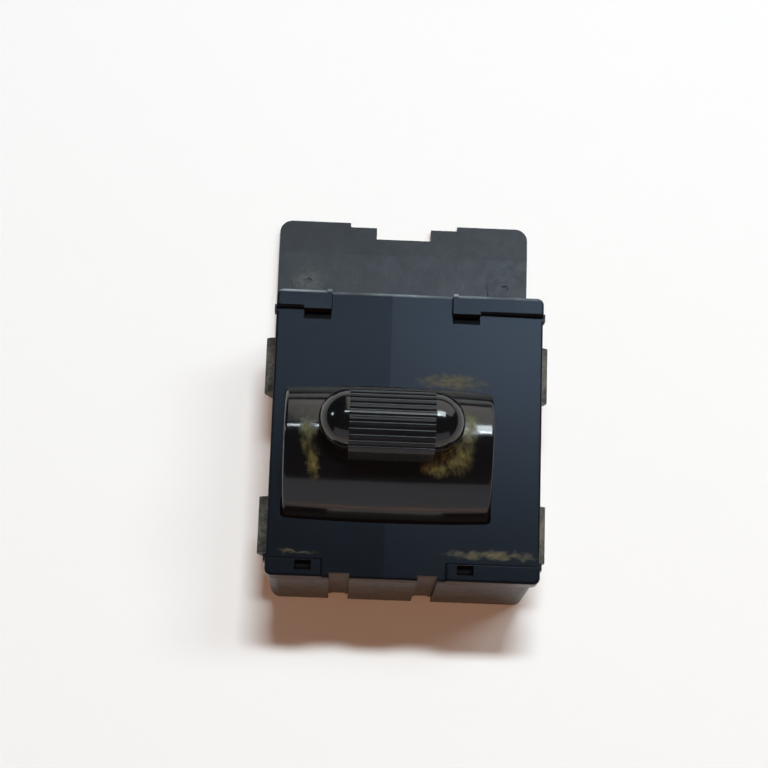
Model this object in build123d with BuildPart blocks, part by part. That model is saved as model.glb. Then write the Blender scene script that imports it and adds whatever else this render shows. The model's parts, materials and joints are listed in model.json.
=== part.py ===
from build123d import *

import os
from math import asin, cos, degrees, radians, sin, sqrt, tan

# Single power window switch: a snap-in housing with a rear flange, a latched cover and a
# sprung rocker with a ribbed grip, over two see-saw contact levers.
# Millimetres, +Z up. X runs along the rocker's axis, +Y points to the rear flange, and the
# origin is the middle of the bounding box's underside.

# ---- Driving dimensions ---------------------------------------------------------------------

# Cover plate
plate_width = 40.0
plate_depth = 43.2
plate_height = 23.5          # top of the plate's side edges above the base
plate_thickness = 2.0
plate_corner = 1.0
ridge_rise = 0.45            # the plate's top is a very shallow roof along Y
edge_round = 0.35

# Raised strips at the plate's four corners
strip_rise = 1.0
strip_depth = 2.75
strip_inner = 9.0            # from the rocker's middle line to a strip's inner end
nib_reach = 0.3              # small nib on the plate's side at each strip's step
nib_length = 1.1

# Rocker axis, measured from the plate's middle and its top edges
axis_x = -2.7
axis_set_back = 1.0          # toward the front
rocker_travel = 10.0         # degrees each way

# Housing walls, floor and flange
wall_inset = 0.3
wall = 1.6
wall_corner = 1.6
inner_corner = 0.3
floor_thickness = 1.8
flange_reach = 18.4
flange_width = 40.2
flange_offset = -0.7
flange_corner = 2.0
flange_slope_depth = 5.5     # the flange thins toward its rear edge over this depth
flange_slope_drop = 0.5
notch_width = 8.8
notch_depth = 2.7
notch_step_width = 17.3
notch_step_depth = 0.75
pad_radius = 2.8             # round moulding pads on the flange
pad_rise = 0.25
pad_x = 15.8
pad_y = 7.9                  # behind the plate's rear edge
pad_dimple = 0.6

# Front wall grooves and slots
groove_width = 3.0
groove_depth = 0.8
groove_spacing = 12.9
groove_foot = 0.9            # the small notch at each groove's lower end
slot_width = 1.8
slot_height = 0.8
slot_drop = 0.9              # below the plate's underside
groove_setback = 0.45        # how far the plate's front edge steps back above a groove

# Side lugs that hold the switch in its panel
lug_length = 8.5
lug_reach = 1.86
lug_top = 15.6
lug_face = 1.6
lug_ramp = 5.0
lug_spacing = 24.7
lug_shift = -0.35
lug_bevel = 0.5

# Latches: four housing fingers in windows of the cover
finger = 0.75
finger_gap = 0.15
finger_root = 1.5            # from the plate's underside down to the fingers' roots
finger_jog = 2.5
nose = 0.4
nose_height = 0.7
ledge_height = 0.9           # from the plate's underside to the ledge that a nose grips
rear_window_x = 11.15
rear_window_width = 4.1
rear_window_set_in = 4.3     # from the plate's rear edge to the window's far side
rear_window_depth = 1.25
rear_pocket_height = 1.0
rear_lug_rise = 0.55
rear_lug_bar = 0.7
front_window_x = 11.8
front_window_width = 2.4
front_window_set_in = 2.4
front_window_depth = 1.4
lip = 1.2                    # lip that places the cover inside the walls
lip_height = 2.0
lip_gap = 0.15

# Rocker drum
drum_radius = 7.95           # rear and crown, about the rocker's axis
drum_front = 12.15           # front foot, from the rocker's axis
drum_end_gap = 0.2           # from the drum's left end to the housing's inner wall
drum_crown = 0.45            # how much further the drum stands out at mid length than at its ends
drum_wall = 1.5
drum_skirt = 2.5             # how far the drum reaches below the plate's top
drum_gap = 0.2               # even all round, between the drum and its window
drum_round = 0.5
crown_turn = 10.0            # degrees forward, where the crown's arc meets the front's
stub_radius = 1.5
stub_length = 2.0
running_gap = 0.05

# Knob and grip
knob_shift = 0.25            # knob and grip, to the right of the drum's middle
knob_back = 0.7              # knob's middle, behind the rocker's axis
knob_length = 21.0
knob_radius = 4.25
knob_height = 15.0           # top of the knob above the rocker's axis
grip_width = 12.2
grip_proud_rear = 0.05       # how far the grip's rear wall stands out from the knob
grip_proud_front = 0.9
grip_wall = 0.5
grip_lift = 0.3              # between the grip's foot and the drum
grip_height = 0.6            # top of the grip above the knob's
grip_fullness = 0.575        # by how much the ribbed arc's radius exceeds half the grip's depth
rib_pitch = 10.0             # degrees
rib_count = 11
rib_depth = 0.3

# Well under the cover's drum window
well_wall = 1.2
well_floor = 1.2
well_depth = 5.5             # from the plate's top to the well's floor
port_gap = 1.35              # round the plunger tubes, in the well's floor
cheek = 1.9
cheek_gap = 0.3
cheek_radius = 2.8
post_radius = 1.4
post_margin = 2.3            # from the carrier's left and right edges to the posts' middles
post_y = 7.2
seat_gap = 0.05

# Plungers and springs
plunger_spacing = 11.0
plunger_radius = 1.5
plunger_length = 7.2
tube_wall = 1.1
tube_drop = 4.0              # tube's lower end below the rocker's axis
tip_gap = 0.04
pip_radius = 0.7             # pip on a plunger that centres its spring
pip_length = 1.0
spring_wire = 0.4
spring_radius = 1.05         # to the middle of the wire
spring_turns = 5
spring_sides = 4             # square wire, which keeps the hidden springs light
spring_length = 5.6

# Contact levers and fixed contacts
lever_drop = 3.0             # from the well's underside down to the knife edges
lever_thickness = 0.8
lever_width = 5.0
lever_reach = 8.2
lever_bend = 5.0             # degrees that each arm rises
lever_neck = 3.2
lever_notch = 1.6
lever_turn = 0.5             # lever's turn for each degree of the rocker's
knife_gap = 0.02
contact_reach = 6.9
contact_radius = 1.3
contact_thickness = 0.7
contact_bevel = 0.2
contact_margin = 0.05
terminal_thickness = 0.8
prong = 1.0
prong_height = 1.5
land_width = 4.6
land_reach = 8.6             # outer end of a fixed contact's land, from the rocker's axis
blade_width = 2.8
blade_row = 4.8              # front and rear blades, from the rocker's axis
blade_gap = 0.05

# Contact carrier and connector socket
carrier_gap = 1.1            # from the carrier's left edge to the housing's inner wall
carrier_thickness = 2.4
carrier_margin = 2.2
carrier_corner = 1.5
peg_radius = 0.9
peg_margin = 1.8             # from the carrier's left and right edges to the pegs' middles
socket_depth = 15.5
socket_wall = 1.6
socket_corner = 1.0
socket_mouth = 4.3           # free depth in front of the blades' tips

# ---- Worked-out places ----------------------------------------------------------------------

plate_y = -flange_reach / 2
rear_edge = plate_y + plate_depth / 2
front_edge = plate_y - plate_depth / 2
flange_tip = rear_edge + flange_reach
axis_y = plate_y - axis_set_back
axis_z = plate_height
plate_under = plate_height - plate_thickness
ledge_top = plate_under + ledge_height

wall_width = plate_width - 2 * wall_inset
wall_depth = plate_depth - 2 * wall_inset
inner_width = wall_width - 2 * wall
inner_depth = wall_depth - 2 * wall
inner_reach = inner_width + 2 * axis_x      # widest that fits inside, centred on the rocker's middle
drum_length = inner_reach - 2 * drum_end_gap
carrier_width = inner_reach - 2 * carrier_gap
peg_spacing = carrier_width - 2 * peg_margin
post_x = carrier_width / 2 - post_margin
shroud_width = carrier_width - 2 * carrier_margin
socket_width = shroud_width - 2 * socket_wall
lip_width = inner_width - 2 * lip_gap
lip_depth = inner_depth - 2 * lip_gap
wall_rear = plate_y + wall_depth / 2
wall_front = plate_y - wall_depth / 2

rear_lug_front = rear_edge - rear_window_set_in + rear_window_depth

window_half = drum_length / 2 + drum_gap

# The drum's front is an arc that leaves the crown's arc smoothly and ends at the front foot
crown_sin = sin(radians(crown_turn))
front_set = (drum_front**2 - drum_radius**2) / (2 * (drum_radius - drum_front * crown_sin))
front_radius = drum_radius + front_set
front_centre = (axis_y + front_set * crown_sin, axis_z - front_set * cos(radians(crown_turn)))
window_depth = drum_radius + drum_front + 2 * drum_gap
window_y = axis_y + (drum_radius - drum_front) / 2
drum_end = drum_length / 2
end_face = drum_end - drum_wall
knob_middle = axis_z + knob_height - knob_radius
knob_x = axis_x + knob_shift
knob_y = axis_y + knob_back
grip_half = knob_radius + (grip_proud_rear + grip_proud_front) / 2
grip_y = knob_y + (grip_proud_rear - grip_proud_front) / 2
grip_radius = grip_half + grip_fullness
grip_top = axis_z + knob_height + grip_height
well_top = plate_height - well_depth
well_under = well_top - well_floor

lever_height = well_under - lever_drop
contact_rise = contact_reach * tan(radians(lever_bend))
contact_drop = contact_reach * sin(radians(lever_turn * rocker_travel))
fixed_top = lever_height + contact_rise - contact_thickness - contact_drop - contact_margin
land_top = fixed_top - contact_thickness
carrier_top = land_top - terminal_thickness
carrier_under = carrier_top - carrier_thickness
shroud_depth = socket_depth + 2 * socket_wall

bore_radius = plunger_radius + running_gap
tube_radius = bore_radius + tube_wall
tube_swing = tube_drop * sin(radians(rocker_travel))
port_length = plunger_spacing + 2 * (tube_radius + port_gap)
port_depth = 2 * (tube_radius + tube_swing + port_gap)
tip_height = lever_height + lever_thickness + tip_gap
plunger_top = tip_height + plunger_length
spring_top = plunger_top + spring_length
sides = {"left": axis_x - plunger_spacing / 2, "right": axis_x + plunger_spacing / 2}
ends = {"front": -1, "rear": 1}

os.makedirs("parts", exist_ok=True)


def save(shape, name):
    """Label a finished piece and write it under the same name."""
    shape.label = name
    export_step(shape, f"parts/{name}.step")


def across(x):
    """Plane of a side section at a place along X: its x runs along +Y and its y along +Z."""
    return Plane(origin=(x, 0, 0), x_dir=(0, 1, 0), z_dir=(1, 0, 0))


def rim(radius, turn):
    """Point of a circle about the rocker's axis, at a turn in degrees to the rear of upright."""
    return (axis_y + radius * sin(radians(turn)), axis_z + radius * cos(radians(turn)))


def drum_outline(shrink, skirt):
    """Edges of the drum's side profile, moved in by shrink from its outer face at mid length."""
    radius = drum_radius - shrink
    front = drum_front - shrink
    rear_turn = 90 + degrees(asin(skirt / radius))
    front_turn = 90 + degrees(asin(skirt / front))
    slope = (-cos(radians(crown_turn)), -sin(radians(crown_turn)))
    with BuildLine() as outline:
        ThreePointArc(rim(radius, rear_turn), rim(radius, 45), rim(radius, -crown_turn))
        TangentArc(rim(radius, -crown_turn), rim(front, -90), tangent=slope)
        ThreePointArc(rim(front, -90), rim(front, -(90 + front_turn) / 2), rim(front, -front_turn))
        Line(rim(front, -front_turn), rim(radius, rear_turn))
    return outline.edges()


def barrel(centre, radius, start, sweep):
    """Solid turned about a line along X: its side bows out by drum_crown at mid length."""
    turn = radians(start)
    cut = Plane(origin=(axis_x, *centre), x_dir=(1, 0, 0), z_dir=(0, -cos(turn), sin(turn)))
    rim_left = (-drum_end, radius - drum_crown)
    rim_right = (drum_end, radius - drum_crown)
    with BuildPart() as turned:
        with BuildSketch(cut):
            with BuildLine():
                Polyline(rim_left, (-drum_end, 0), (drum_end, 0), rim_right)
                ThreePointArc(rim_left, (0, radius), rim_right)
            make_face()
        revolve(axis=Axis((axis_x, *centre), (1, 0, 0)), revolution_arc=sweep)
    return turned.part


class Latch:
    """One row of latch fingers: where its windows, fingers and noses lie along Y."""

    def __init__(self, out, x, width, set_in, depth, pocket_height):
        edge = plate_y + out * plate_depth / 2
        self.out = out
        self.x = x
        self.width = width
        self.window_near = edge - out * set_in
        self.window_far = self.window_near + out * depth
        self.finger_near = self.window_near + out * finger_gap
        self.finger_far = self.finger_near + out * finger
        self.nose_tip = self.finger_far + out * nose
        self.ledge_edge = self.finger_far + out * finger_gap
        self.pocket_edge = self.nose_tip + out * finger_gap
        self.wall_face = plate_y + out * inner_depth / 2
        self.pocket_height = pocket_height


latches = (
    Latch(-1, front_window_x, front_window_width, front_window_set_in, front_window_depth,
          plate_thickness + strip_rise - ledge_height),
    Latch(1, rear_window_x, rear_window_width, rear_window_set_in, rear_window_depth, rear_pocket_height),
)


# ---- Base housing ---------------------------------------------------------------------------

with BuildPart() as base_housing:
    with BuildSketch(Plane.XY):
        with Locations((0, plate_y)):
            RectangleRounded(wall_width, wall_depth, wall_corner)
    extrude(amount=plate_under)
    with BuildSketch(Plane.XY.offset(floor_thickness)):
        with Locations((0, plate_y)):
            RectangleRounded(inner_width, inner_depth, inner_corner)
    extrude(amount=plate_under, mode=Mode.SUBTRACT)

    # Rear flange, level with the floor: rounded corners, a stepped notch and a thinner rear edge
    with BuildSketch(Plane.XY):
        with Locations((flange_offset, wall_rear - wall)):
            Rectangle(flange_width, flange_tip - wall_rear + wall, align=(Align.CENTER, Align.MIN))
        fillet(vertices().group_by(Axis.Y)[-1], flange_corner)
        for width, depth in ((notch_step_width, notch_step_depth), (notch_width, notch_depth)):
            with Locations((flange_offset, flange_tip)):
                Rectangle(width, 2 * depth, mode=Mode.SUBTRACT)
    extrude(amount=floor_thickness)
    with BuildSketch(across(flange_offset)):
        with BuildLine():
            Polyline(
                (flange_tip - flange_slope_depth, floor_thickness),
                (flange_tip, floor_thickness - flange_slope_drop),
                (flange_tip, floor_thickness),
                close=True,
            )
        make_face()
    extrude(amount=flange_width, both=True, mode=Mode.SUBTRACT)
    with BuildSketch(Plane.XY.offset(floor_thickness)):
        with Locations((-pad_x, rear_edge + pad_y), (pad_x, rear_edge + pad_y)):
            Circle(pad_radius)
            Circle(pad_dimple, mode=Mode.SUBTRACT)
    extrude(amount=pad_rise)

    # Connector socket: a shroud on the floor, open at the base, with a peg boss on each side
    with BuildSketch(Plane.XY):
        with Locations((axis_x, axis_y)):
            RectangleRounded(shroud_width, shroud_depth, socket_corner + socket_wall)
            with GridLocations(peg_spacing, 0, 2, 1):
                Circle(peg_radius + wall / 2)
    extrude(amount=carrier_under)
    with BuildSketch(Plane.XY):
        with Locations((axis_x, axis_y)):
            RectangleRounded(socket_width, socket_depth, socket_corner)
    extrude(amount=carrier_under, mode=Mode.SUBTRACT)
    with BuildSketch(Plane.XY.offset(carrier_under)):
        with Locations((axis_x, axis_y)):
            with GridLocations(peg_spacing, 0, 2, 1):
                Circle(peg_radius)
    extrude(amount=carrier_thickness)

    # Front wall: two full-height grooves, each with a notch at its foot, and two small slots
    with BuildSketch(Plane.XY):
        with Locations((axis_x, wall_front)):
            with GridLocations(groove_spacing, 0, 2, 1):
                Rectangle(groove_width, 2 * groove_depth)
    extrude(amount=plate_under, mode=Mode.SUBTRACT)
    with BuildSketch(Plane.XZ.offset(-wall_front)):
        with Locations((axis_x, 0)):
            with GridLocations(groove_spacing, 0, 2, 1):
                Rectangle(groove_width - groove_foot, 2 * groove_foot)
    extrude(amount=-(groove_depth + groove_foot), mode=Mode.SUBTRACT)
    with BuildSketch(Plane.XZ.offset(-wall_front)):
        with Locations((axis_x, plate_under - slot_drop)):
            with GridLocations(2 * front_window_x, 0, 2, 1):
                Rectangle(slot_width, slot_height)
    extrude(amount=-groove_depth, mode=Mode.SUBTRACT)

    # Side lugs: two ramps on each side wall, square on top so that the panel can't lift off
    for lug_y in (plate_y + lug_shift - lug_spacing / 2, plate_y + lug_shift + lug_spacing / 2):
        for hand in (-1, 1):
            with BuildSketch(Plane.XZ.offset(-lug_y)):
                with BuildLine():
                    Polyline(
                        (hand * (wall_width / 2 - wall / 2), lug_top + lug_bevel),
                        (hand * wall_width / 2, lug_top + lug_bevel),
                        (hand * (wall_width / 2 + lug_reach - lug_bevel), lug_top),
                        (hand * (wall_width / 2 + lug_reach), lug_top - lug_bevel),
                        (hand * (wall_width / 2 + lug_reach), lug_top - lug_face),
                        (hand * wall_width / 2, lug_top - lug_face - lug_ramp),
                        (hand * (wall_width / 2 - wall / 2), lug_top - lug_face - lug_ramp),
                        close=True,
                    )
                make_face()
            extrude(amount=lug_length / 2, both=True)

    # Latch fingers: each grows from the wall and hooks outward over a ledge of the cover
    for latch in latches:
        inside_wall = latch.wall_face + latch.out * wall / 2
        root = plate_under - finger_root
        finger_top = ledge_top + finger_gap + nose_height
        for hand in (-1, 1):
            with BuildSketch(across(axis_x + hand * latch.x)):
                with BuildLine():
                    Polyline(
                        (inside_wall, root - finger_jog),
                        (latch.finger_near, root),
                        (latch.finger_near, finger_top),
                        (latch.finger_far, finger_top),
                        (latch.nose_tip, ledge_top + finger_gap),
                        (latch.finger_far, ledge_top + finger_gap),
                        (latch.finger_far, root + finger),
                        (inside_wall, root + finger),
                        close=True,
                    )
                make_face()
            extrude(amount=latch.width / 2 - finger_gap, both=True)

save(base_housing.part, "base_housing")


# ---- Top cover ------------------------------------------------------------------------------

with BuildPart() as top_cover:
    # Plate with its shallow roof, ridge over the rocker's middle
    with BuildSketch(Plane.XZ.offset(-front_edge)):
        with BuildLine():
            Polyline(
                (-plate_width / 2, plate_under),
                (-plate_width / 2, plate_height),
                (axis_x, plate_height + ridge_rise),
                (plate_width / 2, plate_height),
                (plate_width / 2, plate_under),
                close=True,
            )
        make_face()
    extrude(amount=-plate_depth)
    levels = edges().group_by(Axis.Z)
    fillet(levels[-2] + levels[-3], edge_round)   # every top edge but the ridge, which is highest

    # Raised strips at the corners
    with BuildSketch(Plane.XY.offset(plate_under)):
        for hand in (-1, 1):
            length = plate_width / 2 - hand * axis_x - strip_inner
            middle = hand * (plate_width - length) / 2
            with Locations((middle, front_edge + strip_depth / 2), (middle, rear_edge - strip_depth / 2)):
                Rectangle(length, strip_depth)
    extrude(amount=plate_thickness + strip_rise)
    fillet(edges().filter_by(Axis.Z).group_by(Axis.Y)[0].group_by(Axis.X)[0], plate_corner)
    fillet(edges().filter_by(Axis.Z).group_by(Axis.Y)[0].group_by(Axis.X)[-1], plate_corner)
    fillet(edges().filter_by(Axis.Z).group_by(Axis.Y)[-1].group_by(Axis.X)[0], plate_corner)
    fillet(edges().filter_by(Axis.Z).group_by(Axis.Y)[-1].group_by(Axis.X)[-1], plate_corner)
    fillet(faces().filter_by(Axis.Z).group_by(Axis.Z)[-1].edges(), edge_round)

    # Nibs on the plate's sides at the steps
    with BuildSketch(Plane.XY.offset(plate_under)):
        for step in (front_edge + strip_depth, rear_edge - strip_depth):
            with Locations((0, step)):
                Rectangle(plate_width + 2 * nib_reach, nib_length)
        with Locations((0, plate_y)):
            Rectangle(plate_width - nib_length, plate_depth, mode=Mode.SUBTRACT)
    extrude(amount=plate_thickness)

    # Setbacks in the front edge above the wall's grooves
    with BuildSketch(Plane.XY.offset(plate_under)):
        with Locations((axis_x, front_edge)):
            with GridLocations(groove_spacing, 0, 2, 1):
                Rectangle(groove_width, 2 * (wall_inset + groove_setback))
    extrude(amount=plate_thickness + ridge_rise, mode=Mode.SUBTRACT)

    # L-shaped lugs over the rear windows
    with BuildSketch(Plane.XY.offset(plate_under)):
        for hand in (-1, 1):
            lug_inner = axis_x + hand * (rear_window_x - rear_window_width / 2)
            lug_outer = axis_x + hand * (rear_window_x + rear_window_width / 2)
            with BuildLine():
                Polyline(
                    (lug_inner, rear_lug_front),
                    (lug_outer, rear_lug_front),
                    (lug_outer, rear_lug_front + rear_lug_bar),
                    (lug_inner + hand * rear_lug_bar, rear_lug_front + rear_lug_bar),
                    (lug_inner + hand * rear_lug_bar, rear_edge),
                    (lug_inner, rear_edge),
                    close=True,
                )
            make_face()
    extrude(amount=plate_thickness + strip_rise + rear_lug_rise)

    # Skirt lip that places the cover inside the walls
    with BuildSketch(Plane.XY.offset(plate_under - lip_height)):
        with Locations((0, plate_y)):
            RectangleRounded(lip_width, lip_depth, inner_corner)
            Rectangle(lip_width - 2 * lip, lip_depth - 2 * lip, mode=Mode.SUBTRACT)
        for latch in latches:
            with Locations((axis_x, latch.wall_face)):
                with GridLocations(2 * latch.x, 0, 2, 1):
                    Rectangle(latch.width + 2 * lip, 4 * lip, mode=Mode.SUBTRACT)
    extrude(amount=lip_height)

    # Windows for the latch fingers, each with a ledge and a pocket for the nose
    for latch in latches:
        for hand in (-1, 1):
            for base, far, height in (
                (plate_under, latch.ledge_edge, ledge_height),
                (ledge_top, latch.window_far, plate_thickness + strip_rise),
                (ledge_top, latch.pocket_edge, latch.pocket_height),
            ):
                with BuildSketch(Plane.XY.offset(base)):
                    with Locations((axis_x + hand * latch.x, (latch.window_near + far) / 2)):
                        Rectangle(latch.width, abs(far - latch.window_near))
                extrude(amount=height, mode=Mode.SUBTRACT)

    # Well under the drum: walls round the drum's window and a floor with a port for the plungers
    with BuildSketch(Plane.XY.offset(well_under)):
        with Locations((axis_x, window_y)):
            Rectangle(drum_length, window_depth + 2 * well_wall)
    extrude(amount=plate_under - well_under)
    with BuildSketch(Plane.XY.offset(well_top)):
        with BuildLine():
            for reach in (drum_radius + drum_gap, -drum_front - drum_gap):
                bowed_in = reach - drum_crown if reach > 0 else reach + drum_crown
                ThreePointArc(
                    (axis_x - window_half, axis_y + bowed_in),
                    (axis_x, axis_y + reach),
                    (axis_x + window_half, axis_y + bowed_in),
                )
            for hand in (-1, 1):
                Line(
                    (axis_x + hand * window_half, axis_y + drum_radius + drum_gap - drum_crown),
                    (axis_x + hand * window_half, axis_y - drum_front - drum_gap + drum_crown),
                )
        make_face()
        fillet(vertices(), drum_round + drum_gap)
    extrude(amount=well_depth + ridge_rise, mode=Mode.SUBTRACT)
    with BuildSketch(Plane.XY.offset(well_under)):
        with Locations((axis_x, axis_y)):
            Rectangle(port_length, port_depth)
    extrude(amount=well_floor, mode=Mode.SUBTRACT)

    # Bearing cheeks that the rocker's stubs snap into
    for hand in (-1, 1):
        with BuildSketch(across(axis_x + hand * (end_face - cheek_gap))):
            with Locations((axis_y, axis_z)):
                Circle(cheek_radius)
                Rectangle(2 * cheek_radius, axis_z - well_top, align=(Align.CENTER, Align.MAX))
                Circle(stub_radius + running_gap, mode=Mode.SUBTRACT)
        extrude(amount=-hand * cheek)

    # Posts that hold the contact carrier down
    with BuildSketch(Plane.XY.offset(carrier_top + seat_gap)):
        with Locations((axis_x, axis_y)):
            with GridLocations(2 * post_x, 2 * post_y, 2, 2):
                Circle(post_radius)
    extrude(amount=well_under - carrier_top - seat_gap)

save(top_cover.part, "top_cover")


# ---- Grip: a ribbed saddle over the knob ----------------------------------------------------

grip_foot = drum_outline(-grip_lift, drum_skirt)


def saddle(shrink):
    """Edges of the grip's side profile, moved in by shrink: two walls under a round top."""
    half = grip_half - shrink
    radius = grip_radius - shrink
    middle = grip_top - grip_radius
    shoulder = middle + sqrt(radius**2 - half**2)
    with BuildLine() as outline:
        Line((grip_y - half, axis_z), (grip_y + half, axis_z))
        Line((grip_y + half, axis_z), (grip_y + half, shoulder))
        ThreePointArc((grip_y + half, shoulder), (grip_y, middle + radius), (grip_y - half, shoulder))
        Line((grip_y - half, shoulder), (grip_y - half, axis_z))
    return outline.edges()


outside = saddle(0)
inside = saddle(grip_wall)

with BuildPart() as grip:
    with BuildSketch(across(knob_x)):
        make_face(outside)
        make_face(inside, mode=Mode.SUBTRACT)
        make_face(grip_foot, mode=Mode.SUBTRACT)
        rib_arc = rib_pitch * (rib_count - 1)
        with Locations((grip_y, grip_top - grip_radius)):
            with PolarLocations(grip_radius, rib_count, 90 - rib_arc / 2, rib_arc, endpoint=True):
                Circle(rib_depth, mode=Mode.SUBTRACT)
    extrude(amount=grip_width / 2, both=True)

save(grip.part, "grip")


# ---- Rocker: drum, domed knob and plunger tubes in one moulding -----------------------------

rear_barrel = barrel((axis_y, axis_z), drum_radius, 180, 180 + crown_turn)
front_barrel = barrel(front_centre, front_radius, -crown_turn, 90 - crown_turn)
foot_barrel = barrel((axis_y, axis_z), drum_front, 180, 360)
hollow = drum_outline(drum_wall + drum_crown, drum_skirt + drum_gap)

with BuildPart() as rocker:
    # The foot's barrel trims the front one, so that the foot stays in its window as it turns
    add(rear_barrel)
    add(front_barrel)
    add(foot_barrel, mode=Mode.INTERSECT)
    split(bisect_by=Plane.XY.offset(axis_z - drum_skirt), keep=Keep.TOP)
    for which in (0, -1):
        end_edges = faces().sort_by(Axis.X)[which].edges().sort_by(Axis.Z)
        fillet(end_edges[1:], drum_round)

    # Knob: a capsule on a stadium-shaped neck that runs down into the drum
    with BuildSketch(Plane.XY.offset(axis_z)):
        with Locations((knob_x, knob_y)):
            SlotOverall(knob_length, 2 * knob_radius)
    extrude(amount=knob_middle - axis_z)
    with BuildSketch(Plane.XZ.offset(-knob_y)):
        with Locations((knob_x, knob_middle)):
            SlotOverall(knob_length, 2 * knob_radius)
            Rectangle(knob_length, knob_radius, align=(Align.CENTER, Align.MAX), mode=Mode.SUBTRACT)
    revolve(axis=Axis((knob_x, knob_y, knob_middle), (1, 0, 0)))

    # Hollow under the crown
    with BuildSketch(across(axis_x)):
        make_face(hollow)
    extrude(amount=end_face, both=True, mode=Mode.SUBTRACT)

    # Seat for the grip: the knob is cut back under the saddle's walls
    with BuildSketch(across(knob_x)):
        make_face(outside)
        make_face(inside, mode=Mode.SUBTRACT)
        make_face(grip_foot, mode=Mode.SUBTRACT)
    extrude(amount=grip_width / 2, both=True, mode=Mode.SUBTRACT)

    # Tubes for the plungers, joined by a web
    with BuildSketch(Plane.XY.offset(axis_z - tube_drop)):
        with Locations((axis_x, axis_y)):
            with GridLocations(plunger_spacing, 0, 2, 1):
                Circle(tube_radius)
    extrude(amount=tube_drop + drum_radius - drum_wall / 2)
    with BuildSketch(Plane.XY.offset(axis_z)):
        with Locations((axis_x, axis_y)):
            Rectangle(plunger_spacing, tube_wall)
    extrude(amount=drum_radius - drum_wall / 2)
    with BuildSketch(Plane.XY.offset(axis_z - tube_drop)):
        with Locations((axis_x, axis_y)):
            with GridLocations(plunger_spacing, 0, 2, 1):
                Circle(bore_radius)
    extrude(amount=spring_top - axis_z + tube_drop, mode=Mode.SUBTRACT)

    # Bearing stubs on the inner faces of the drum's ends
    for hand in (-1, 1):
        with BuildSketch(across(axis_x + hand * end_face)):
            with Locations((axis_y, axis_z)):
                Circle(stub_radius)
        extrude(amount=-hand * stub_length)

save(rocker.part, "rocker")


# ---- Plungers and their springs -------------------------------------------------------------

for side, x in sides.items():
    with BuildPart() as plunger:
        with BuildSketch(Plane.XZ.offset(-axis_y)):
            with BuildLine():
                JernArc((x, tip_height), (1, 0), plunger_radius, 90)
                Polyline(
                    (x + plunger_radius, tip_height + plunger_radius),
                    (x + plunger_radius, plunger_top),
                    (x + pip_radius, plunger_top),
                    (x + pip_radius, plunger_top + pip_length),
                    (x, plunger_top + pip_length),
                    (x, tip_height),
                )
            make_face()
        revolve(axis=Axis((x, axis_y, 0), (0, 0, 1)))
    save(plunger.part, f"plunger_{side}")

    with BuildPart() as spring:
        with BuildLine() as coil:
            Helix(
                pitch=(spring_length - spring_wire) / spring_turns,
                height=spring_length - spring_wire,
                radius=spring_radius,
                center=(x, axis_y, plunger_top + spring_wire / 2),
            )
        with BuildSketch(Plane(origin=coil.line @ 0, z_dir=coil.line % 0)):
            RegularPolygon(spring_wire / 2, spring_sides)
        sweep(is_frenet=True)
    save(spring.part, f"plunger_spring_{side}")


# ---- Contact levers -------------------------------------------------------------------------

for side, x in sides.items():
    rise = lever_reach * tan(radians(lever_bend))
    with BuildPart() as lever:
        with BuildSketch(across(x)):
            with BuildLine():
                Polyline(
                    (axis_y - lever_reach, lever_height + rise),
                    (axis_y, lever_height),
                    (axis_y + lever_reach, lever_height + rise),
                    (axis_y + lever_reach, lever_height + rise + lever_thickness),
                    (axis_y, lever_height + lever_thickness),
                    (axis_y - lever_reach, lever_height + rise + lever_thickness),
                    close=True,
                )
            make_face()
        extrude(amount=lever_width / 2, both=True)
        with BuildSketch(Plane.XY.offset(lever_height - lever_thickness)):
            with Locations((x - lever_width / 2, axis_y), (x + lever_width / 2, axis_y)):
                Rectangle(lever_width - lever_neck, lever_notch)
        extrude(amount=4 * lever_thickness, mode=Mode.SUBTRACT)
        fillet(lever.edges().filter_by(Axis.Z).group_by(Axis.Y)[0], lever_thickness)
        fillet(lever.edges().filter_by(Axis.Z).group_by(Axis.Y)[-1], lever_thickness)
    save(lever.part, f"contact_lever_{side}")

    with BuildPart() as buttons:
        for end in ends.values():
            tilt = radians(lever_bend)
            seat = Plane(
                origin=(x, axis_y + end * contact_reach, lever_height + contact_rise),
                x_dir=(1, 0, 0),
                z_dir=(0, end * sin(tilt), -cos(tilt)),
            )
            with BuildSketch(seat):
                Circle(contact_radius)
            extrude(amount=contact_thickness)
    save(buttons.part, f"lever_contacts_{side}")


# ---- Contact carrier, terminals and fixed contacts ------------------------------------------

with BuildPart() as contact_carrier:
    with BuildSketch(Plane.XY.offset(carrier_under)):
        with Locations((axis_x, axis_y)):
            RectangleRounded(carrier_width, shroud_depth + 2 * carrier_margin, carrier_corner)
            with GridLocations(peg_spacing, 0, 2, 1):
                Circle(peg_radius + running_gap, mode=Mode.SUBTRACT)
            with GridLocations(plunger_spacing, blade_row, 2, 3):
                Rectangle(
                    blade_width + 2 * blade_gap, terminal_thickness + 2 * blade_gap, mode=Mode.SUBTRACT
                )
    extrude(amount=carrier_thickness)

save(contact_carrier.part, "contact_carrier")

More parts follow.
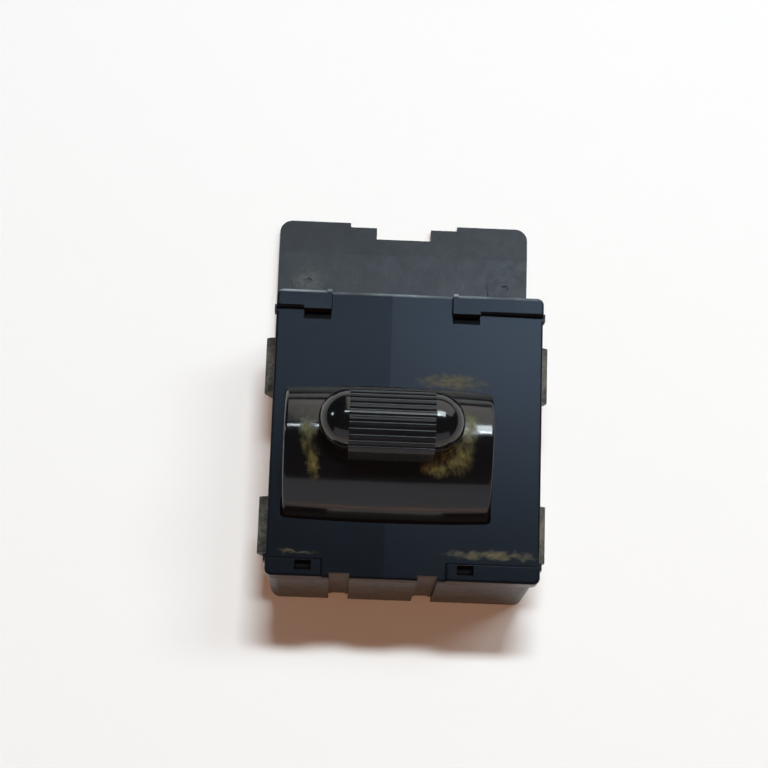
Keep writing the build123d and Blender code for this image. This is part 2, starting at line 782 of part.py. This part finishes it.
for side, x in sides.items():
    # Common terminal: a web whose knife edge carries the lever, between two prongs
    knife = lever_height - knife_gap
    prong_x = (lever_neck + prong) / 2 + blade_gap
    with BuildPart() as common:
        with BuildSketch(Plane.XZ.offset(-axis_y)):
            with Locations((x, carrier_top)):
                Rectangle(2 * prong_x + prong, knife - carrier_top, align=(Align.CENTER, Align.MIN))
                Rectangle(blade_width, carrier_top - socket_mouth, align=(Align.CENTER, Align.MAX))
            with Locations((x - prong_x, knife), (x + prong_x, knife)):
                Rectangle(prong, prong_height, align=(Align.CENTER, Align.MIN))
        extrude(amount=terminal_thickness / 2, both=True)
        tips = common.faces().sort_by(Axis.Z)[0].edges().filter_by(Axis.X)
        chamfer(tips, terminal_thickness / 4)
    save(common.part, f"common_terminal_{side}")

    for end_name, end in ends.items():
        with BuildPart() as terminal:
            with BuildSketch(Plane.XY.offset(carrier_top)):
                with Locations((x, axis_y + end * (blade_row + land_reach) / 2)):
                    Rectangle(land_width, land_reach - blade_row + terminal_thickness)
            extrude(amount=terminal_thickness)
            with BuildSketch(Plane.XY.offset(socket_mouth)):
                with Locations((x, axis_y + end * blade_row)):
                    Rectangle(blade_width, terminal_thickness)
            extrude(amount=carrier_top - socket_mouth)
            tips = terminal.faces().sort_by(Axis.Z)[0].edges().filter_by(Axis.X)
            chamfer(tips, terminal_thickness / 4)
        save(terminal.part, f"{end_name}_terminal_{side}")

        with BuildPart() as contact:
            with BuildSketch(Plane.XY.offset(land_top)):
                with Locations((x, axis_y + end * contact_reach)):
                    Circle(contact_radius)
            extrude(amount=contact_thickness)
            chamfer(contact.faces().sort_by(Axis.Z)[-1].edges(), contact_bevel)
        save(contact.part, f"{end_name}_contact_{side}")
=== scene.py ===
import json
from math import radians

import bpy
from mathutils import Euler, Matrix, Vector


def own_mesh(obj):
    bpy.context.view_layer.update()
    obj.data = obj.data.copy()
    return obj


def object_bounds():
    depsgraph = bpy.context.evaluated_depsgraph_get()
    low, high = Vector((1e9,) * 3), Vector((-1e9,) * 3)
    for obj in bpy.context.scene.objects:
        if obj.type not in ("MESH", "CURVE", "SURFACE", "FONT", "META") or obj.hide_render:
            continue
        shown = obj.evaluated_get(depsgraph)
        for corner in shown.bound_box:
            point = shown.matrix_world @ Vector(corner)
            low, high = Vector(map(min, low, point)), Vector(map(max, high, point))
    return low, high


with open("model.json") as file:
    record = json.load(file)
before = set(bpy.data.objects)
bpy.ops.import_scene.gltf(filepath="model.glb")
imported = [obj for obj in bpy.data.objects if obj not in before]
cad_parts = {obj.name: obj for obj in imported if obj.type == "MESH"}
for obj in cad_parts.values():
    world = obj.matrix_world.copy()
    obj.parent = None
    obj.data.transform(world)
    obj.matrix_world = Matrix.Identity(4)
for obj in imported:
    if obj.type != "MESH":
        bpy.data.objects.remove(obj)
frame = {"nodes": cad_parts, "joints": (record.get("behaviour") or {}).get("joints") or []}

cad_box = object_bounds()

# Single power window switch: a dull nylon housing, a satin cover, a polished drum rocker with a
# ribbed grip, and dried brown grime where fingers and dust have left it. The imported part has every
# shape, so this script gives each piece its finish, and adds the floor, the lamps and the camera.

# ---- Values ---------------------------------------------------------------------------------

millimetre = 0.001

camera_place = (-9.56, -73.95, 315.76)      # millimetres
camera_angles = (13.8705, -1.6446, 1.9011)  # degrees about X, then Y, then Z
camera_lens = 95.0
camera_sensor = 36.0

floor_size = 6.0                            # metres, as are all the places and sizes of lamps
floor_drop = 0.00002                        # keeps the floor just clear of the base

# A cool tube overhead, a little behind the switch, that only lights. The one that is mirrored
# beside it is longer, thinner and dimmer.
tube_place = (0.05, 0.29, 1.0)
tube_size = (0.27, 0.07)
tube_watts = 8.9
mirrored_tube_place = (0.02, 0.28, 1.0)
mirrored_tube_size = (0.54, 0.035)
mirrored_tube_watts = 2.6

# A soft panel to the tube's right, that only lights too. The mirrored one is larger and nearer.
# Its left edge lies between what the two halves of the cover mirror, and that shows the ridge.
panel_place = (0.55, 0.34, 1.0)
panel_size = (0.5, 0.2)
panel_watts = 3.0
mirrored_panel_place = (0.385, 0.395, 1.0)
mirrored_panel_size = (0.58, 0.345)
mirrored_panel_watts = 11.0

# A small window far to the left, mirrored as a spot
window_place = (-2.05, 0.36, 1.0)
window_size = (0.5, 0.2)
window_watts = 12.0

# A warm glow, low and far in front, that fills the tube's shadow and casts none
glow_place = (0.3, -2.4, 0.46)
glow_size = (0.9, 0.5)
glow_watts = 64.0

# Pale cards behind and in front, there only to be mirrored by the glossy mouldings
rear_card_place = (1.27, 1.28, 0.96)
rear_card_size = (3.0, 1.75)
rear_card_watts = 29.0
front_card_place = (0.0, -1.5, 0.45)
front_card_size = (3.5, 0.95)
front_card_watts = 6.8

cool_white = "#ecf9ff"
warm_white = "#ffb98c"
rear_card_white = "#fffaf4"
front_card_white = "#f4f6ff"
room_white = "#f2f6fa"
room_light = 0.05

# Grime patches in the part's frame: middle and half size along X and Y, in millimetres
drum_grime = (
    ((-14.4, -11.0), (1.1, 3.0)),
    ((-13.6, -15.0), (0.9, 2.4)),
    ((8.6, -9.5), (1.5, 2.8)),
    ((7.2, -13.4), (2.4, 2.6)),
    ((4.2, -15.2), (2.2, 1.3)),
)
cover_grime = (
    ((6.6, -1.0), (4.8, 1.1)),
    ((13.2, -26.6), (6.6, 0.6)),
    ((-15.4, -27.2), (2.8, 0.25)),
)
flange_grime = (
    ((-15.8, 20.0), (2.7, 2.7)),
)
lug_dust = tuple(((x, y), (2.0, 4.6)) for x in (-21.2, 21.2) for y in (-21.9, 2.8))

# How a patch of grime ends and wears, in millimetres or as a share
torn_pitch = 1.25                           # between the tongues of its torn outline
torn_reach = 2.4                            # from the deepest notch to the longest tongue
streak_pitch = 0.7                          # between the streaks that rub it thin
streak_share = 0.15                         # of its thickness is left in a streak
patch_edge = {"From Min": 1.25, "From Max": 0.35}       # of its half size, from clean to full

# Where else a finish changes, or where shade, a highlight or a reflection is painted, from its start to
# its full strength, in millimetres
finger_heights = {"From Min": 20.0, "From Max": 20.6}   # the latch fingers in the cover's windows
rear_edge_highlight = {"From Min": 11.9, "From Max": 12.15}   # along Y, up to the cover's rear edge
top_edge_highlight = {"From Min": 22.9, "From Max": 23.4}     # up to the cover's top
drum_crest = {"From Min": 32.3, "From Max": 31.9}       # down to where the drum starts
foot_reflection = {"From Min": -4.7, "From Max": -3.3, "To Max": 0.85}    # along Y, to the drum's rear foot

# How much a face looks up, as the height of its normal: dust slides off the steep ones
dust_slopes = {"From Min": 0.05, "From Max": 0.4}

tarnish = 0.12                              # how much rougher the dull patches of a metal are

# A noise has nearly all of its values in this range
noise_range = {"From Min": 0.3, "From Max": 0.7}

# A Mix node's sockets for colours, by number because its other sockets have the same names
colour_a = 6
colour_b = 7
colour_result = 2


# ---- Helpers --------------------------------------------------------------------------------

def linear(colour):
    """An sRGB hex colour as the linear red, green, blue and alpha that a shader takes."""
    parts = [int(colour[i:i + 2], 16) / 255 for i in (1, 3, 5)]
    return [c / 12.92 if c <= 0.04045 else ((c + 0.055) / 1.055) ** 2.4 for c in parts] + [1.0]


def add(tree, kind, settings=None, links=None):
    """A new node with its settings and incoming links; sockets go by name, or by number."""
    node = tree.nodes.new("ShaderNode" + kind)
    for name, value in (settings or {}).items():
        if isinstance(name, str) and hasattr(node, name):
            setattr(node, name, value)
        else:
            node.inputs[name].default_value = value
    for name, source in (links or {}).items():
        tree.links.new(source, node.inputs[name])
    return node


def start(name, **values):
    """A material, its node tree, its shader with its even values, and mm: places in millimetres."""
    material = bpy.data.materials.new(name)
    material.use_nodes = True
    tree = material.node_tree
    tree.nodes.clear()
    settings = {key.replace("_", " "): value for key, value in values.items()}
    shader = add(tree, "BsdfPrincipled", settings)
    add(tree, "OutputMaterial", links={"Surface": shader.outputs["BSDF"]})
    metres = add(tree, "TexCoord").outputs["Object"]
    settings = {"operation": "SCALE", "Scale": 1 / millimetre}
    mm = add(tree, "VectorMath", settings, {0: metres}).outputs["Vector"]
    return material, tree, shader, mm


def wander(tree, mm, pitch, least, most, detail=3.0):
    """A value that wanders between least and most, with its spots about pitch millimetres apart."""
    noise = add(tree, "TexNoise", {"Scale": 1 / pitch, "Detail": detail}, {"Vector": mm})
    settings = {**noise_range, "To Min": least, "To Max": most}
    return add(tree, "MapRange", settings, {"Value": noise.outputs["Fac"]}).outputs["Result"]


def etch(tree, shader, mm, pitch, depth):
    """The fine relief of an etched mould: grains pitch apart and depth deep, in millimetres."""
    grains = add(tree, "TexNoise", {"Scale": 1 / pitch, "Detail": 2.0}, {"Vector": mm})
    settings = {"Distance": depth * millimetre}
    relief = add(tree, "Bump", settings, {"Height": grains.outputs["Fac"]})
    tree.links.new(relief.outputs["Normal"], shader.inputs["Normal"])


def grime(tree, mm, patches, most, streaks=(1, 1, 1)):
    """How thickly dirt lies, 0 to most: torn patches, rubbed thin in streaks.

    The smaller the number for an axis in streaks, the longer they are along it.
    """
    torn = add(tree, "TexNoise", {"Scale": 1 / torn_pitch, "Detail": 5.0}, {"Vector": mm})
    settings = {"operation": "SUBTRACT", 1: (0.5, 0.5, 0.5)}
    centred = add(tree, "VectorMath", settings, {0: torn.outputs["Color"]})
    settings = {"operation": "SCALE", "Scale": torn_reach}
    shift = add(tree, "VectorMath", settings, {0: centred.outputs["Vector"]})
    links = {0: mm, 1: shift.outputs["Vector"]}
    moved = add(tree, "VectorMath", {"operation": "ADD"}, links)
    total = None
    for (x, y), (half_x, half_y) in patches:
        settings = {"operation": "SUBTRACT", 1: (x, y, 0)}
        away = add(tree, "VectorMath", settings, {0: moved.outputs["Vector"]})
        settings = {"operation": "MULTIPLY", 1: (1 / half_x, 1 / half_y, 0)}
        sized = add(tree, "VectorMath", settings, {0: away.outputs["Vector"]})
        reach = add(tree, "VectorMath", {"operation": "LENGTH"}, {0: sized.outputs["Vector"]})
        near = add(tree, "MapRange", patch_edge, {"Value": reach.outputs["Value"]})
        if total is None:
            total = near.outputs["Result"]
        else:
            links = {0: total, 1: near.outputs["Result"]}
            total = add(tree, "Math", {"operation": "MAXIMUM"}, links).outputs["Value"]
    combed = add(tree, "VectorMath", {"operation": "MULTIPLY", 1: streaks}, {0: mm})
    kept = wander(
        tree, combed.outputs["Vector"], streak_pitch, least=streak_share * most, most=most, detail=5.0,
    )
    settings = {"operation": "MULTIPLY", "use_clamp": True}
    return add(tree, "Math", settings, {0: total, 1: kept}).outputs["Value"]


def dress(material, *nodes):
    """Give the frame's nodes their material."""
    for name in nodes:
        for slot in frame["nodes"][name].material_slots:
            slot.material = material


# ---- Materials ------------------------------------------------------------------------------

def moulded_nylon():
    """Glass-filled black nylon, injection moulded: dull and grainy, pale where dust has settled."""
    material, tree, shader, mm = start(
        "moulded_nylon", Specular_IOR_Level=0.2, IOR=1.53, Specular_Tint=linear("#dce8fa"),
    )

    # The skin is cloudy where the glass lies near it: every 6 mm in tone, every 1.2 mm in roughness
    cloud = wander(tree, mm, pitch=6.0, least=0.0, most=1.0)
    settings = {"data_type": "RGBA", colour_a: linear("#191816"), colour_b: linear("#23221e")}
    plain = add(tree, "Mix", settings, {"Factor": cloud})

    # Dust lies only where a face of the lugs looks up; the stain on the flange is thinner
    facing = add(tree, "NewGeometry")
    axes = add(tree, "SeparateXYZ", links={"Vector": facing.outputs["Normal"]})
    looks_up = add(tree, "MapRange", dust_slopes, {"Value": axes.outputs["Z"]})
    settled = grime(tree, mm, lug_dust, most=0.8)
    links = {0: settled, 1: looks_up.outputs["Result"]}
    dust = add(tree, "Math", {"operation": "MULTIPLY"}, links)
    stain = grime(tree, mm, flange_grime, most=0.25)
    dirt = add(tree, "Math", {"operation": "MAXIMUM"}, {0: stain, 1: dust.outputs["Value"]})
    settings = {"data_type": "RGBA", colour_b: linear("#7c7a6e")}
    links = {"Factor": dirt.outputs["Value"], colour_a: plain.outputs[colour_result]}
    soiled = add(tree, "Mix", settings, links)

    # The latch fingers down in the cover's windows are darkened to near black as painted shade, and are
    # rougher by 0.5
    place = add(tree, "SeparateXYZ", links={"Vector": mm})
    finger = add(tree, "MapRange", finger_heights, {"Value": place.outputs["Z"]}).outputs["Result"]
    settings = {"data_type": "RGBA", colour_b: linear("#090909")}
    shaded_fingers = add(tree, "Mix", settings, {"Factor": finger, colour_a: soiled.outputs[colour_result]})
    tree.links.new(shaded_fingers.outputs[colour_result], shader.inputs["Base Color"])
    worn = wander(tree, mm, pitch=1.2, least=0.38, most=0.46)
    settings = {"operation": "MULTIPLY_ADD", 1: 0.5}
    dull = add(tree, "Math", settings, {0: finger, 2: worn})
    tree.links.new(dull.outputs["Value"], shader.inputs["Roughness"])

    # Real grains are under 0.1 mm; these are drawn as coarse as they need to show
    etch(tree, shader, mm, pitch=0.25, depth=0.02)
    return material


def satin_abs():
    """Black ABS from a fine-etched mould: an even satin with a cool, faint sheen of the lamps."""
    material, tree, shader, mm = start(
        "satin_abs", Specular_IOR_Level=0.07, IOR=1.54, Specular_Tint=linear("#c4d8f4"),
    )

    # Its tone drifts a little every 9 mm, as the melt flowed; grime lies in streaks along X
    cloud = wander(tree, mm, pitch=9.0, least=0.0, most=1.0)
    settings = {"data_type": "RGBA", colour_a: linear("#09090b"), colour_b: linear("#0c0c0f")}
    plain = add(tree, "Mix", settings, {"Factor": cloud})
    dirt = grime(tree, mm, cover_grime, most=0.42, streaks=(0.6, 1.2, 1))
    settings = {"data_type": "RGBA", colour_b: linear("#887c52")}
    soiled = add(tree, "Mix", settings, {"Factor": dirt, colour_a: plain.outputs[colour_result]})

    # The top rear edge carries a painted highlight: it is paler, more in some places than in others,
    # some 7 mm apart
    place = add(tree, "SeparateXYZ", links={"Vector": mm})
    rear = add(tree, "MapRange", rear_edge_highlight, {"Value": place.outputs["Y"]})
    top = add(tree, "MapRange", top_edge_highlight, {"Value": place.outputs["Z"]})
    links = {0: rear.outputs["Result"], 1: top.outputs["Result"]}
    edge = add(tree, "Math", {"operation": "MULTIPLY"}, links)
    patchy = wander(tree, mm, pitch=7.0, least=0.1, most=1.0)
    highlight_share = add(tree, "Math", {"operation": "MULTIPLY"}, {0: edge.outputs["Value"], 1: patchy})
    settings = {"data_type": "RGBA", colour_b: linear("#949a9e")}
    links = {"Factor": highlight_share.outputs["Value"], colour_a: soiled.outputs[colour_result]}
    highlighted = add(tree, "Mix", settings, links)
    tree.links.new(highlighted.outputs[colour_result], shader.inputs["Base Color"])

    # The bare satin has a roughness of 0.24, and dirt adds 0.6 times its thickness
    settings = {"operation": "MULTIPLY_ADD", 1: 0.6, 2: 0.24}
    dull = add(tree, "Math", settings, {0: dirt})
    tree.links.new(dull.outputs["Value"], shader.inputs["Roughness"])

    # A fine etch has grains of about 0.05 mm; these are drawn as coarse as they need to show
    etch(tree, shader, mm, pitch=0.3, depth=0.003)
    return material


def polished_abs():
    """Black ABS from a polished mould: glossy, with fine scratches and a dull brown crust."""
    material, tree, shader, mm = start("polished_abs", IOR=1.54)
    place = add(tree, "SeparateXYZ", links={"Vector": mm})

    # The crust of dried grime lies on the drum alone, in streaks round it, and its two browns
    # change every 1.6 mm
    tone = wander(tree, mm, pitch=1.6, least=0.0, most=1.0)
    settings = {"data_type": "RGBA", colour_a: linear("#414229"), colour_b: linear("#6f6b3e")}
    crust = add(tree, "Mix", settings, {"Factor": tone})
    on_drum = add(tree, "MapRange", drum_crest, {"Value": place.outputs["Z"]})
    patches = grime(tree, mm, drum_grime, most=0.8, streaks=(1.3, 0.6, 0.6))
    links = {0: patches, 1: on_drum.outputs["Result"]}
    dirt = add(tree, "Math", {"operation": "MULTIPLY"}, links)
    settings = {"data_type": "RGBA", colour_a: linear("#0b0b0d")}
    links = {"Factor": dirt.outputs["Value"], colour_b: crust.outputs[colour_result]}
    soiled = add(tree, "Mix", settings, links)

    # A painted reflection along the rear foot, where the drum dips into its window: a pale grey hides
    # most of the black
    foot = add(tree, "MapRange", foot_reflection, {"Value": place.outputs["Y"]})
    settings = {"data_type": "RGBA", colour_b: linear("#565350")}
    links = {"Factor": foot.outputs["Result"], colour_a: soiled.outputs[colour_result]}
    reflected_foot = add(tree, "Mix", settings, links)
    tree.links.new(reflected_foot.outputs[colour_result], shader.inputs["Base Color"])

    # Real scratches are hair thin; these are 0.3 mm apart, as coarse as they need to show, and
    # twenty times as long, along the drum
    along = add(tree, "VectorMath", {"operation": "MULTIPLY", 1: (1 / 20, 1, 1)}, {0: mm})
    scratch = wander(tree, along.outputs["Vector"], pitch=0.3, least=0.09, most=0.17, detail=4.0)

    # The crust is dull: it adds 0.56 times its thickness to the roughness, and takes 0.45 times
    # its thickness off the gloss of 0.4
    settings = {"operation": "MULTIPLY_ADD", 1: 0.56}
    dull = add(tree, "Math", settings, {0: dirt.outputs["Value"], 2: scratch})
    tree.links.new(dull.outputs["Value"], shader.inputs["Roughness"])
    settings = {"operation": "MULTIPLY_ADD", 1: -0.45, 2: 0.4}
    gloss = add(tree, "Math", settings, {0: dirt.outputs["Value"]})
    tree.links.new(gloss.outputs["Value"], shader.inputs["Specular IOR Level"])
    return material


def etched_abs():
    """Charcoal ABS from an etched mould: dull enough for the ribs to read without glare."""
    material, tree, shader, mm = start("etched_abs", Specular_IOR_Level=0.27, IOR=1.54)

    # Fingers have worn it in spots some 3 mm apart in tone and 0.8 mm in roughness
    cloud = wander(tree, mm, pitch=3.0, least=0.0, most=1.0)
    settings = {"data_type": "RGBA", colour_a: linear("#08090c"), colour_b: linear("#0e1014")}
    plain = add(tree, "Mix", settings, {"Factor": cloud})
    tree.links.new(plain.outputs[colour_result], shader.inputs["Base Color"])
    worn = wander(tree, mm, pitch=0.8, least=0.30, most=0.38)
    tree.links.new(worn, shader.inputs["Roughness"])

    # Real grains are about 0.1 mm; these are drawn as coarse as they need to show
    etch(tree, shader, mm, pitch=0.18, depth=0.006)
    return material


def moulded_phenolic():
    """Brown phenolic moulding compound: matte, with a faint fleck from its filler."""
    material, tree, shader, mm = start("moulded_phenolic", Roughness=0.55, IOR=1.6)
    fleck = wander(tree, mm, pitch=0.5, least=0.0, most=1.0, detail=5.0)
    settings = {"data_type": "RGBA", colour_a: linear("#3d2a1e"), colour_b: linear("#553b29")}
    plain = add(tree, "Mix", settings, {"Factor": fleck})
    tree.links.new(plain.outputs[colour_result], shader.inputs["Base Color"])

    # The dull skin's grains are under 0.1 mm; these are drawn as coarse as they need to show
    etch(tree, shader, mm, pitch=0.3, depth=0.006)
    return material


def turned_nylon():
    """Unpigmented nylon, turned from rod: milky, with light passing a little way in."""
    material, tree, shader, mm = start(
        "turned_nylon", Roughness=0.38, IOR=1.53, Subsurface_Weight=0.15,
        Subsurface_Scale=0.6 * millimetre,
    )
    cloud = wander(tree, mm, pitch=1.5, least=0.0, most=1.0)
    settings = {"data_type": "RGBA", colour_a: linear("#ded8c6"), colour_b: linear("#ece7d8")}
    plain = add(tree, "Mix", settings, {"Factor": cloud})
    tree.links.new(plain.outputs[colour_result], shader.inputs["Base Color"])
    return material


def bare_metal(name, dark, light, roughness, pitch):
    """Rolled or drawn metal, brighter and smoother in patches about pitch millimetres apart."""
    material, tree, shader, mm = start(name, Metallic=1.0)
    cloud = wander(tree, mm, pitch, least=0.0, most=1.0, detail=4.0)
    settings = {"data_type": "RGBA", colour_a: linear(dark), colour_b: linear(light)}
    plain = add(tree, "Mix", settings, {"Factor": cloud})
    tree.links.new(plain.outputs[colour_result], shader.inputs["Base Color"])
    dull = wander(tree, mm, pitch, least=roughness + tarnish, most=roughness, detail=4.0)
    tree.links.new(dull, shader.inputs["Roughness"])
    return material


def drawn_spring_wire():
    """Drawn music wire: plain grey and smooth."""
    return bare_metal("drawn_spring_wire", "#8c8c8e", "#a9aaac", roughness=0.28, pitch=0.6)


def rolled_copper():
    """Half-hard copper strip: warm and bright, slightly browned by handling."""
    return bare_metal("rolled_copper", "#b06a45", "#c98a63", roughness=0.26, pitch=1.2)


def pressed_silver():
    """Pressed silver alloy: pale and bright, with a first dull tarnish."""
    return bare_metal("pressed_silver", "#b9b6ad", "#d6d4cc", roughness=0.24, pitch=0.7)


def tinned_brass():
    """Stamped brass under a thin tin plate: pale, with a warm tinge."""
    return bare_metal("tinned_brass", "#b5a878", "#cfc6a0", roughness=0.3, pitch=1.0)


# ---- What each piece is made of -------------------------------------------------------------

sides = ("left", "right")
terminals = ("common_terminal", "front_terminal", "rear_terminal")
buttons = ("lever_contacts", "front_contact", "rear_contact")
dress(moulded_nylon(), "base_housing")
dress(satin_abs(), "top_cover")
dress(polished_abs(), "rocker")
dress(etched_abs(), "grip")
dress(moulded_phenolic(), "contact_carrier")
dress(turned_nylon(), *[f"plunger_{side}" for side in sides])
dress(drawn_spring_wire(), *[f"plunger_spring_{side}" for side in sides])
dress(rolled_copper(), *[f"contact_lever_{side}" for side in sides])
dress(tinned_brass(), *[f"{terminal}_{side}" for terminal in terminals for side in sides])
dress(pressed_silver(), *[f"{button}_{side}" for button in buttons for side in sides])


# ---- Springs --------------------------------------------------------------------------------

# Each spring that the record lists as deforming gets a mesh of its own; the record says it shortens
# toward its fixed upper end as its plunger slides up
for joint in frame["joints"]:
    for spring in joint.get("deforming_nodes", []):
        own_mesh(frame["nodes"][spring["node"]])


# ---- Floor, lamps and camera ----------------------------------------------------------------

def white_card():
    """Pressed white card: matte and near white all over, and it keeps the shadows."""
    colour = linear("#f6f5f3")
    material, *_ = start("white_card", Base_Color=colour, Roughness=0.9, Specular_IOR_Level=0.0)
    return material


bpy.ops.mesh.primitive_plane_add(size=floor_size, location=(0, 0, cad_box[0].z - floor_drop))
floor = bpy.context.object
floor.name = "floor"
floor.data.materials.append(white_card())


def lamp(name, place, size, watts, colour):
    """A rectangular soft lamp at a place in metres, level along X and turned to the switch."""
    data = bpy.data.lights.new(name, "AREA")
    data.shape = "RECTANGLE"
    data.size, data.size_y = size
    data.energy = watts
    data.color = linear(colour)[:3]
    light = bpy.data.objects.new(name, data)
    light.location = place
    light.rotation_euler = (-Vector((0, *place[1:]))).to_track_quat("-Z", "Y").to_euler()
    bpy.context.scene.collection.objects.link(light)
    return light


glow = lamp("glow", glow_place, glow_size, glow_watts, warm_white)
glow.data.use_shadow = False
only_lighting = (
    lamp("tube", tube_place, tube_size, tube_watts, cool_white),
    lamp("panel", panel_place, panel_size, panel_watts, cool_white),
    glow,
)
for light in only_lighting:
    light.visible_glossy = False

only_mirrored = (
    lamp("mirrored_tube", mirrored_tube_place, mirrored_tube_size, mirrored_tube_watts, cool_white),
    lamp("mirrored_panel", mirrored_panel_place, mirrored_panel_size, mirrored_panel_watts, cool_white),
    lamp("window", window_place, window_size, window_watts, cool_white),
    lamp("rear_card", rear_card_place, rear_card_size, rear_card_watts, rear_card_white),
    lamp("front_card", front_card_place, front_card_size, front_card_watts, front_card_white),
)
for light in only_mirrored:
    light.visible_diffuse = False

world = bpy.data.worlds.new("room")
bpy.context.scene.world = world
world.use_nodes = True
background = world.node_tree.nodes["Background"]
background.inputs["Color"].default_value = linear(room_white)
background.inputs["Strength"].default_value = room_light

camera_data = bpy.data.cameras.new("camera")
camera_data.lens = camera_lens
camera_data.sensor_width = camera_sensor
camera = bpy.data.objects.new("camera", camera_data)
turn = Euler([radians(angle) for angle in camera_angles]).to_matrix().to_4x4()
camera.matrix_world = Matrix.Translation(Vector(camera_place) * millimetre) @ turn
bpy.context.scene.collection.objects.link(camera)
bpy.context.scene.camera = camera
bpy.context.scene.view_settings.view_transform = "Standard"
